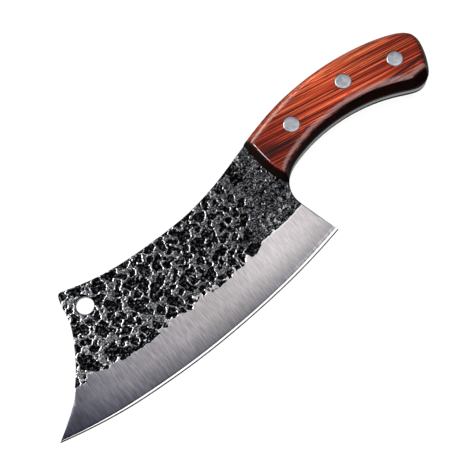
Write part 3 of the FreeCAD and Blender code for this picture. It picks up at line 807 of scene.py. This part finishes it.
def make_blade():
    outline = blade_outline()
    hole = ring(HOLE[:2], HOLE[2], 72)
    bores = [ring(c, TUBE_R + 0.05, 24) for c in RIVETS.values()]
    loops = [outline, hole] + bores
    border_tree = tree(np.vstack(loops))
    # a line where the honed edge starts, and a few rows just inside the outline for its eased corners
    x = np.linspace(3.0, 190.6, 340)
    honed_line = np.c_[x, edge_y(x) + honed_width(x)]
    inset = []
    for loop, sign in [(outline, 1), (hole, -1)]:
        after, before = np.roll(loop, -1, 0), np.roll(loop, 1, 0)
        d = after - before
        d /= np.hypot(*d.T)[:, None]
        clockwise = np.sum(loop[:, 0] * after[:, 1] - after[:, 0] * loop[:, 1]) < 0
        n = np.c_[d[:, 1], -d[:, 0]] if clockwise else np.c_[-d[:, 1], d[:, 0]]
        inset.append(loop + sign * 0.40 * n)
    inset = np.vstack(inset)
    inset = inset[inside(outline, inset) & ~inside(hole, inset)]
    inset = inset[gap(border_tree, inset) > 0.34]
    inset = inset[inset[:, 1] > edge_y(inset[:, 0]) + honed_width(inset[:, 0]) + 0.5]
    inset_tree = tree(np.vstack([inset, honed_line]))

    def interior(fine_step):
        low, high = outline.min(0), outline.max(0)
        fine = hex_grid(fine_step, low, high)
        under = inside(scale_loop, fine)
        keep = (fine[:, 1] > grind_y(fine[:, 0]) - 5.2) & (fine[:, 0] < 189.5) & ~under
        fine = fine[keep]
        coarse = hex_grid(1.7, low, high)
        under = inside(scale_loop, coarse)
        deep = coarse[:, 1] < grind_y(coarse[:, 0]) - 5.9
        coarse = coarse[(deep & (coarse[:, 0] < 191)) | under]
        points = []
        for grid, room in ((fine, 0.30), (coarse, 0.8)):
            ok = inside(outline, grid)
            for h in [hole] + bores:
                ok &= ~inside(h, grid)
            grid = grid[ok]
            grid = grid[gap(border_tree, grid) > max(room, 0.62)]
            grid = grid[gap(inset_tree, grid) > room]
            points.append(grid)
        if len(points[0]) and len(points[1]):
            fine_tree = tree(points[0])
            points[1] = points[1][gap(fine_tree, points[1]) > 0.7]
        return np.vstack(points + [inset])

    layers = []
    for seed, step in ((11, 0.475), (29, 0.56)):
        face = Face(seed)
        co, tris, border = triangulate(loops, [honed_line], interior(step))
        z, ground, pit, rim = face.at(co[:, 0], co[:, 1])
        hidden = inside(scale_loop, co)
        at_tang = co[:, 0] > 191.6
        # the bar's corners are eased, and under the wood the forging is flat
        away = np.minimum(gap(border_tree, co), 2.0)
        edge_room = co[:, 1] - edge_y(co[:, 0])
        ease = 0.34 * (1 - smoothstep(0.0, 0.55, away)) * np.where((edge_room > 4) | at_tang, 1.0, 0.0)
        on_tang = hidden | at_tang
        z = np.where(on_tang, HALF - np.where(away < 0.2, 0.06, 0.0), z - ease * np.clip(z - 0.7, 0, 1))
        z = np.maximum(z, APEX)
        ground = np.where(on_tang, -1.0, np.where(co[:, 0] > 185.5, np.where(edge_room < 25, ground, -1.0), ground))
        layers.append(dict(co=co, tris=tris, z=z, ground=ground, pit=np.where(on_tang, 0.0, pit),
                           rim=np.where(on_tang, 0.0, rim), edge=edge_room))
    top, low = layers
    n_top = len(top["co"])
    co = np.vstack([np.c_[top["co"], top["z"]], np.c_[low["co"], -low["z"]]])
    faces = [tuple(f) for f in top["tris"]] + [tuple(f[::-1] + n_top) for f in low["tris"]]
    sharp = []
    # the walls have their own points, so that they can carry their own finish
    walls_at = {}
    extra, wall_flag = [], []
    base = len(co)
    for number, (start, n) in enumerate(loops_of(loops)):
        up = np.c_[top["co"][start:start + n], top["z"][start:start + n]]
        down = np.c_[low["co"][start:start + n], -low["z"][start:start + n]]
        ids_up = base + np.arange(n)
        ids_down = base + n + np.arange(n)
        extra.append(up)
        extra.append(down)
        base += 2 * n
        loop = loops[number]
        after = np.roll(loop, -1, 0)
        clockwise = np.sum(loop[:, 0] * after[:, 1] - after[:, 0] * loop[:, 1]) < 0
        flip = clockwise if number == 0 else not clockwise
        for i in range(n):
            j = (i + 1) % n
            quad = (ids_up[i], ids_up[j], ids_down[j], ids_down[i])
            faces.append(quad if flip else quad[::-1])
    co = np.vstack([co] + extra)
    count = len(co)
    wall = np.zeros(count)
    wall[len(top["co"]) + len(low["co"]):] = 1.0

    def spread(key, fill=0.0):
        out = np.full(count, fill)
        out[:n_top] = top[key]
        out[n_top:n_top + len(low["co"])] = low[key]
        return out

    x, y = co[:, 0], co[:, 1]
    attributes = dict(ground=spread("ground", -1.0), pit=spread("pit"), rim=spread("rim"), above_edge=y - edge_y(x),
                      honed=honed_width(x), calm=near_handle(x, y), wall=wall)
    piece = build("blade_and_tang_forged", co, faces, attributes, cad_node="blade_and_tang")
    # the walls keep their own points apart from the faces, so the fold between them stays sharp
    return piece, dict(loops=loops, n_top=n_top)


# ------------------------------------------------------------------ wooden scales
def polyline_gap(run, points, chunk=4000, place=False):
    """Distance from points to an open run of straight pieces, and how far along the run the nearest place is."""
    a, b = run[:-1], run[1:]
    d = b - a
    length2 = (d**2).sum(1)
    out, where = np.empty(len(points)), np.empty(len(points))
    for i in range(0, len(points), chunk):
        p = points[i:i + chunk][:, None, :] - a[None]
        u = np.clip((p * d[None]).sum(2) / length2[None], 0, 1)
        gap2 = ((p - u[:, :, None] * d[None]) ** 2).sum(2)
        best = gap2.argmin(1)
        row = np.arange(len(best))
        out[i:i + chunk] = np.sqrt(gap2[row, best])
        where[i:i + chunk] = (best + u[row, best]) / len(a)
    return (out, where) if place else out


def station(x, y):
    """How far along the side of the grip a place lies, from 0 to 1."""
    return float(np.argmin(np.hypot(side_run[:, 0] - x, side_run[:, 1] - y))) / (len(side_run) - 1)


TURN = station(281.0, 37.8)       # where the belly starts to turn up into the butt
FACET_AT = [0.0, station(296.5, 70.2), station(300.8, 65.8), TURN - 0.002, TURN, station(271.0, 42.2),
            station(260.9, 46.0), station(246.4, 49.4), station(231.6, 50.7), station(216.9, 50.0), station(203.2, 47.4), 1.0]
FACET_WIDE = [3.0, 3.0, 2.6, 2.6, 4.2, 4.0, 3.9, 3.3, 2.6, 2.5, 2.0, 2.0]
SHOULDER_WIDE = [4.2, 4.2, 2.2, 2.2, 4.2, 4.2, 4.2, 4.2, 4.2, 4.2, 4.2, 4.2]
BUTT_AT, BELLY_AT = station(300.8, 64.0), station(298.6, 49.0)
# the belly's facet runs straight off through the butt, along this line
off_line = np.vstack([side_run[int(round(TURN * (len(side_run) - 1)))] + np.array([1.0, 0.035]) * t_ for t_ in
                      np.arange(30.0, -0.1, -0.9)])
WALL_SIDE, WALL_FRONT, FRONT_IN, FRONT_ROUND = 1.9, 0.7, 3.0, 1.15
SHOULDER_SLOPE = math.radians(30.0)


def facet_width(where):
    """Width of the sloping side facet: widest by the butt's lower corner, narrow at the front of the belly."""
    return np.interp(where, FACET_AT, FACET_WIDE)


def side_profile(d, wide, round_):
    """Height above the tang: a wall, a flat facet, and a softly rounded shoulder up to the flat face."""
    radius = round_ / math.sin(SHOULDER_SLOPE)
    drop = radius * (1 - math.cos(SHOULDER_SLOPE))
    facet = WALL_SIDE + (SCALE - drop - WALL_SIDE) * d / wide
    left_ = np.clip(wide + round_ - d, 0, round_)
    shoulder = SCALE - radius + np.sqrt(radius**2 - left_**2)
    return np.where(d < wide, facet, shoulder)


def front_profile(d):
    rise = SCALE - WALL_FRONT
    slope = math.atan2(rise, FRONT_IN)
    t = FRONT_ROUND * math.tan(slope / 2)
    middle = FRONT_IN + t
    arc = SCALE - FRONT_ROUND + np.sqrt(np.maximum(FRONT_ROUND**2 - (middle - np.minimum(d, middle)) ** 2, 0))
    return np.where(d < FRONT_IN - t * math.cos(slope), WALL_FRONT + d * rise / FRONT_IN, np.where(d < middle, arc, SCALE))


def scale_height(points):
    """Height, distance in from the side and from the front, and the heights of the side, front and running-off facets."""
    ds, where = polyline_gap(side_run, points, place=True)
    df = polyline_gap(bow_run, points)
    do = polyline_gap(off_line, points)
    side = side_profile(ds, facet_width(where), np.interp(where, FACET_AT, SHOULDER_WIDE))
    off = np.where(where < TURN, side_profile(do, FACET_WIDE[4], SHOULDER_WIDE[4]), SCALE + 1.0)
    off = np.where(points[:, 0] > 270.0, off, SCALE + 1.0)
    ahead = front_profile(df)
    return np.minimum(np.minimum(side, off), ahead), ds, df, side, ahead, do, off, where


def offset_run(run, d):
    g = np.gradient(run, axis=0)
    g /= np.hypot(*g.T)[:, None]
    return run + np.c_[g[:, 1], -g[:, 0]] * np.reshape(d, (-1, 1))   # to the right of the run: inwards on both runs


def make_scale(name, up):
    where = np.linspace(0, 1, len(side_run))
    wide = facet_width(where)
    round_ = np.interp(where, FACET_AT, SHOULDER_WIDE)
    rows = [wide * f for f in (0.10, 0.35, 0.65, 0.93, 1.0, 1.05)] + [
        wide + round_ * f for f in (0.16, 0.30, 0.45, 0.60, 0.75, 0.90, 1.0, 1.15)]
    points, lines = [], []

    def kept_as_edge(q, ok):
        for run in np.split(np.arange(len(q)), np.where(~ok)[0]):
            run = run[ok[run]]
            if len(run) > 6:
                lines.append(q[run[2:-2]])

    for number, d in enumerate(rows):
        q = offset_run(side_run, d)
        z, ds, df, side, ahead, do, off, at = scale_height(q)
        ok = inside(scale_loop, q) & (np.abs(ds - d) < 0.06) & (side < ahead - 0.02) & (side < off + 1e-6)
        if number == 4:
            kept_as_edge(q, ok)          # the crease between facet and shoulder is an edge of the mesh
        else:
            points.append(q[ok])
    for f in (0.10, 0.35, 0.65, 0.93, 1.0, 1.05, 1.16, 1.30, 1.45, 1.60, 1.75, 1.90, 2.0, 2.15):
        d = FACET_WIDE[4] * min(f, 1.05) + SHOULDER_WIDE[4] * max(f - 1.05, 0.0)
        q = offset_run(off_line, d)
        z, ds, df, side, ahead, do, off, at = scale_height(q)
        ok = inside(scale_loop, q) & (off < side - 0.02) & (np.abs(do - d) < 0.06)
        if f == 1.0:
            kept_as_edge(q, ok)
        else:
            points.append(q[ok])
    for d in (0.6, 1.3, 1.9, 2.42, 2.62, 2.80, 2.92, 3.04, 3.16, 3.28, 3.40, 3.6, 3.85):
        q = offset_run(bow_run, d)
        z, ds, df, side, ahead, do, off, at = scale_height(q)
        ok = inside(scale_loop, q) & (np.abs(df - d) < 0.04) & (ahead < side - 0.02)
        if ok.sum() > 2:
            points.append(q[ok])
    # the mitres between the front facet and the side facets, and between the butt's facet and the belly's
    turn = side_run[int(round(TURN * (len(side_run) - 1)))]
    for corner, reach in ((side_run[0], 9.0), (side_run[-1], 9.0), (turn, 22.0)):
        mitre = []
        for r in np.linspace(0.25, 9.0, 36) if reach < 10 else np.linspace(2.0, reach, 34):
            around = corner + r * np.c_[np.cos(np.linspace(0, 2 * math.pi, 1441)), np.sin(np.linspace(0, 2 * math.pi, 1441))]
            around = around[inside(scale_loop, around)]
            if len(around) < 3:
                continue
            z, ds, df, side, ahead, do, off, at = scale_height(around)
            other = ahead if reach < 10 else np.where(off < SCALE, off, side - 1.0)
            gap_ = side - other
            flips = np.where(np.sign(gap_[:-1]) * np.sign(gap_[1:]) < 0)[0]
            flips = [k for k in flips if abs(gap_[k]) < 0.4 and abs(gap_[k + 1]) < 0.4]
            if len(flips) and z[flips[0]] < SCALE - 0.05:
                k = flips[0]
                w = gap_[k] / (gap_[k] - gap_[k + 1])
                mitre.append(around[k] * (1 - w) + around[k + 1] * w)
        if len(mitre) > 2:
            lines.append(np.array(mitre))
    heads = [ring(c, HEAD_R + 0.22, 56) for c in RIVETS.values()]
    loops = [scale_loop] + heads
    rims = np.vstack([ring(c, HEAD_R + r, 56) for c in RIVETS.values() for r in (0.45, 0.9)])
    taken = np.vstack(points + lines + [rims])
    grid = hex_grid(1.15, scale_loop.min(0), scale_loop.max(0))
    grid = grid[inside(scale_loop, grid)]
    for c in RIVETS.values():
        grid = grid[np.hypot(*(grid - c).T) > HEAD_R + 1.2]
    grid = grid[gap(tree(np.vstack([taken, scale_loop])), grid) > 0.62]
    cloud = np.vstack(points + [rims, grid])
    if lines:
        cloud = cloud[gap(tree(np.vstack(lines)), cloud) > 0.12]
    co, tris, border = triangulate(loops, lines, cloud)
    z = scale_height(co)[0]
    top = np.c_[co, z]
    n = len(top)
    verts, faces = [top], [tuple(f) for f in tris]
    base = n

    def add(p, s):
        nonlocal base
        verts.append(p)
        ids = base + np.arange(len(p))
        base += len(p)
        return ids

    def band(one, two, outward):
        m = len(one)
        for i in range(m):
            j = (i + 1) % m
            q = (one[i], one[j], two[j], two[i])
            faces.append(q if outward else q[::-1])

    # outside wall
    m = len(scale_loop)
    after = np.roll(scale_loop, -1, 0)
    clockwise = np.sum(scale_loop[:, 0] * after[:, 1] - after[:, 0] * scale_loop[:, 1]) < 0
    bottom_ids = add(np.c_[scale_loop, np.zeros(m)], 0.6)
    band(np.arange(m), bottom_ids, clockwise)
    # head seats: an eased rim, the seat's wall and floor, and the bore below
    start = m
    bottom_loops, bottom_rows = [scale_loop], [bottom_ids]
    for c in RIVETS.values():
        k = 56
        rim_ids = np.arange(start, start + k)
        wall_top = add(np.c_[ring(c, HEAD_R + 0.05, k), np.full(k, SCALE - 0.22)], 0.9)
        wall_low = add(np.c_[ring(c, HEAD_R + 0.05, k), np.full(k, SCALE - HEAD_T)], 0.9)
        bore_top = add(np.c_[ring(c, TUBE_R + 0.05, k), np.full(k, SCALE - HEAD_T)], 0.9)
        bore_low = add(np.c_[ring(c, TUBE_R + 0.05, k), np.zeros(k)], 0.9)
        for one, two in ((rim_ids, wall_top), (wall_top, wall_low), (wall_low, bore_top), (bore_top, bore_low)):
            band(one, two, True)
        bottom_loops.append(ring(c, TUBE_R + 0.05, k))
        bottom_rows.append(bore_low)
        start += k
    under = hex_grid(4.0, scale_loop.min(0), scale_loop.max(0))
    under = under[inside(scale_loop, under)]
    for c in RIVETS.values():
        under = under[np.hypot(*(under - c).T) > TUBE_R + 1.5]
    under = under[gap(tree(scale_loop), under) > 1.5]
    flat, flat_tris, flat_border = triangulate(bottom_loops, [], under)
    ids = np.concatenate(bottom_rows)
    more = add(np.c_[flat[flat_border:], np.zeros(len(flat) - flat_border)], 0.6)
    lookup = np.concatenate([ids, more])
    faces += [tuple(lookup[f][::-1]) for f in flat_tris]
    co3 = np.vstack(verts)
    flat_co = co3[:, :2]
    values = wood_values(flat_co)
    co3[:, 2] += HALF
    faces = [tuple(int(i) for i in f) for f in faces]
    if not up:
        co3[:, 2] *= -1
        faces = [f[::-1] for f in faces]
    piece = build(name, co3, faces, values, cad_node="scale_left" if up else "scale_right")
    # the lacquer stops where the facets start
    side = (values["facet"] < 0.04) | (values["front"] < -0.5)
    slots = [1 if all(side[list(p.vertices)]) else 0 for p in piece.data.polygons]
    return piece, slots


def wood_values(flat_co):
    """Where a point lies on the plank: past the side facet's crease and the front facet, round the side from the
    spine to the belly, and across from the spine to the belly."""
    z, ds, df, side, ahead, do, off, where = scale_height(flat_co)
    spine = side_run[:int(0.40 * len(side_run))]
    low_side = side_run[int(0.60 * len(side_run)):]
    to_spine, to_belly = polyline_gap(spine, flat_co), polyline_gap(low_side, flat_co)
    depth = to_spine / np.maximum(to_spine + to_belly, 0.1)
    depth = depth + 0.75 * (1 - smoothstep(4.0, 34.0, df)) * smoothstep(2.0, 10.0, to_spine)
    running_off = off < side
    facet = np.where(running_off, do - FACET_WIDE[4], ds - facet_width(where))
    belly = np.where(running_off, 1.0, smoothstep(BUTT_AT, BELLY_AT, where))
    butt = smoothstep(station(293.0, 72.0), station(299.5, 68.0), where)
    return dict(facet=facet, front=df - FRONT_IN, belly=belly, butt=np.maximum(butt, belly), depth=depth)


# ------------------------------------------------------------------ rivets
def lathe(name, cad_node, profile, centre, count=72):
    """A closed solid turned about the rivet's axis; profile goes from axis to axis."""
    co, faces = [], []
    rows = []
    for r, z in profile:
        if r == 0:
            rows.append([len(co)])
            co.append((centre[0], centre[1], z))
        else:
            rows.append(list(range(len(co), len(co) + count)))
            a = np.linspace(0, 2 * math.pi, count, endpoint=False)
            co += [(centre[0] + r * math.cos(u), centre[1] + r * math.sin(u), z) for u in a]
    for one, two in zip(rows, rows[1:]):
        for i in range(count):
            j = (i + 1) % count
            a, b = one[i % len(one)], one[j % len(one)]
            c, d = two[j % len(two)], two[i % len(two)]
            face = []
            for v in (a, b, c, d):
                if v not in face:
                    face.append(v)
            if len(face) > 2:
                faces.append(tuple(face))
    return build(name, np.array(co), faces, cad_node=cad_node)


def smooth_by_angle(piece, degrees):
    """Marks folds sharper than this, so that smooth shading stops there."""
    import bmesh
    bm = bmesh.new()
    bm.from_mesh(piece.data)
    limit = math.radians(degrees)
    for e in bm.edges:
        e.smooth = not (len(e.link_faces) == 2 and e.calc_face_angle(0.0) > limit)
    for f in bm.faces:
        f.smooth = True
    bm.to_mesh(piece.data)
    bm.free()


# ------------------------------------------------------------------ build everything
blade, blade_info = make_blade()
blade.data.materials.append(blade_material())

for name, up, shift in (("left", True, (0.0, 0.0, 0.0)), ("right", False, (0.37, 0.11, 0.05))):
    piece, slots = make_scale("scale_%s_wood" % name, up)
    smooth_by_angle(piece, 22)
    piece.data.materials.append(wood_material("lacquered_rosewood_" + name, shift, True))
    piece.data.materials.append(wood_material("oiled_rosewood_" + name, shift, False))
    piece.data.polygons.foreach_set("material_index", np.array(slots, np.int32))
    if up:
        left = piece
    else:
        right = piece

satin = rivet_material()
TOP = HALF + SCALE
pieces = {}
for which, centre in RIVETS.items():
    seat = TOP - HEAD_T
    pin = lathe("rivet_pin_%s_turned" % which, "rivet_pin_" + which, [
        (0, TOP), (2.4, TOP), (4.28, TOP - 0.004), (4.50, TOP - 0.04), (4.64, TOP - 0.13), (4.75, TOP - 0.34),
        (HEAD_R, seat), (PIN_R, seat), (PIN_R, -seat + 0.6), (PIN_R - 0.3, -seat + 0.3), (0, -seat + 0.3)], centre)
    tube = lathe("rivet_tube_%s_turned" % which, "rivet_tube_" + which, [
        (0, -TOP), (2.4, -TOP), (4.28, -TOP + 0.004), (4.50, -TOP + 0.04), (4.64, -TOP + 0.13), (4.75, -TOP + 0.34),
        (HEAD_R, -seat), (TUBE_R, -seat), (TUBE_R, seat - 0.3), (PIN_R, seat - 0.3), (PIN_R, -seat), (0, -seat)],
        centre)
    for kind, piece in (("pin", pin), ("tube", tube)):
        piece.data.materials.append(satin)
        smooth_by_angle(piece, 40)
        pieces["rivet_%s_%s" % (kind, which)] = piece

pieces["blade_and_tang"] = blade
pieces["scale_left"] = left
pieces["scale_right"] = right
for cad_node, piece in pieces.items():
    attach(piece, BODY)
    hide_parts(cad_node)

# ------------------------------------------------------------------ floor
floor_mesh = bpy.data.meshes.new("floor")
S = 6.0
low_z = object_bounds()[0][2]
floor_mesh.from_pydata([(-S, -S, low_z), (S, -S, low_z), (S, S, low_z), (-S, S, low_z)], [], [(0, 1, 2, 3)])
floor = bpy.data.objects.new("floor", floor_mesh)
scene.collection.objects.link(floor)
mat, t = material("pale_floor")
speckle = noise(t, coordinates(t), 60.0, 3.0, 0.6)
shader = node(t, "ShaderNodeBsdfPrincipled", {
    "Base Color": ramp(t, speckle, [(0.3, grey(0.90)), (0.7, grey(0.93))]), "Roughness": 0.9})
finish_material(t, shader)
floor.data.materials.append(mat)

# ------------------------------------------------------------------ light
world = bpy.data.worlds.new("studio")
scene.world = world
world.use_nodes = True
wt = world.node_tree
wt.nodes.clear()
direction = node(wt, "ShaderNodeTexCoord").outputs["Generated"]
split = node(wt, "ShaderNodeSeparateXYZ", {"Vector": direction})
# a dim room, lighter behind the spine and dark on the side of the cutting edge
sky = remap(wt, split.outputs["Y"], -0.30, 0.95, 0.06, 0.46)
background = node(wt, "ShaderNodeBackground", {"Color": (0.95, 0.975, 1.0, 1.0), "Strength": sky})
world_out = node(wt, "ShaderNodeOutputWorld")
wt.links.new(background.outputs[0], world_out.inputs["Surface"])


def area(name, place, target, size, power, colour=(1, 1, 1), size_y=None, receivers=None, casts=True, shine_only=False):
    data = bpy.data.lights.new(name, "AREA")
    data.energy = power
    data.color = colour
    data.shape = "RECTANGLE"
    data.size = size
    data.size_y = size_y or size
    data.use_shadow = casts
    light = bpy.data.objects.new(name, data)
    light.location = place
    light.rotation_mode = "QUATERNION"
    light.rotation_quaternion = (Vector(target) - Vector(place)).to_track_quat("-Z", "Y")
    light.visible_diffuse = not shine_only
    scene.collection.objects.link(light)
    if receivers is not None:
        group = bpy.data.collections.new(name + "_receivers")
        for thing in receivers:
            group.objects.link(thing)
        light.light_linking.receiver_collection = group
    return light


knife = list(pieces.values())
metal = [piece for name, piece in pieces.items() if not name.startswith("scale")]
wood = [left, right]
# the key comes from behind the spine and the tip, low enough to catch the rims of the hammer marks
area("key", (-0.66, 0.94, 0.94), (0.0, 0.0, 0.0), 1.0, 50.0, (1.0, 0.985, 0.96), size_y=0.32, receivers=knife)
# a soft strip overhead is what the ground face of the heel mirrors
area("strip", (0.52, 0.10, 1.2), (0.52, 0.10, 0.0), 0.70, 2.3, (1.0, 0.975, 0.97), size_y=0.20, receivers=metal)
# a narrow one on the other side shines along the belly of the grip, and a small one along its front edge
area("belly_strip", (0.42, -0.38, 1.2), (0.10, 0.0, 0.0), 1.1, 34.0, (1.0, 0.93, 0.92), size_y=0.62, receivers=wood,
     shine_only=True)
area("front_edge", (-0.89, 0.40, 0.82), (0.03, 0.02, 0.01), 0.46, 105.0, (1.0, 0.93, 0.90), receivers=wood, shine_only=True)
area("spine_edge", (0.14, 1.04, 0.60), (0.045, 0.03, 0.015), 0.46, 18.0, (1.0, 0.93, 0.88), receivers=wood, shine_only=True)
# the floor has its own even light
area("floor_wash", (0.0, 0.0, 3.0), (0.0, 0.0, 0.0), 3.0, 125.0, receivers=[floor], casts=False)

# ------------------------------------------------------------------ camera
camera_data = bpy.data.cameras.new("camera")
camera = bpy.data.objects.new("camera", camera_data)
scene.collection.objects.link(camera)
camera_data.sensor_width = 36.0
camera_data.lens = 88.4715
camera_data.clip_start = 0.01
camera_data.clip_end = 50.0
right_axis = Vector((0.784668, -0.619916, 0.0))
up_axis = Vector((0.591225, 0.748351, 0.300706))
back_axis = Vector((-0.186412, -0.235954, 0.953717))
camera.matrix_world = Matrix((
    (right_axis.x, up_axis.x, back_axis.x, -0.127933),
    (right_axis.y, up_axis.y, back_axis.y, -0.157292),
    (right_axis.z, up_axis.z, back_axis.z, 0.629500),
    (0, 0, 0, 1)))
scene.camera = camera
scene.view_settings.view_transform = "Standard"
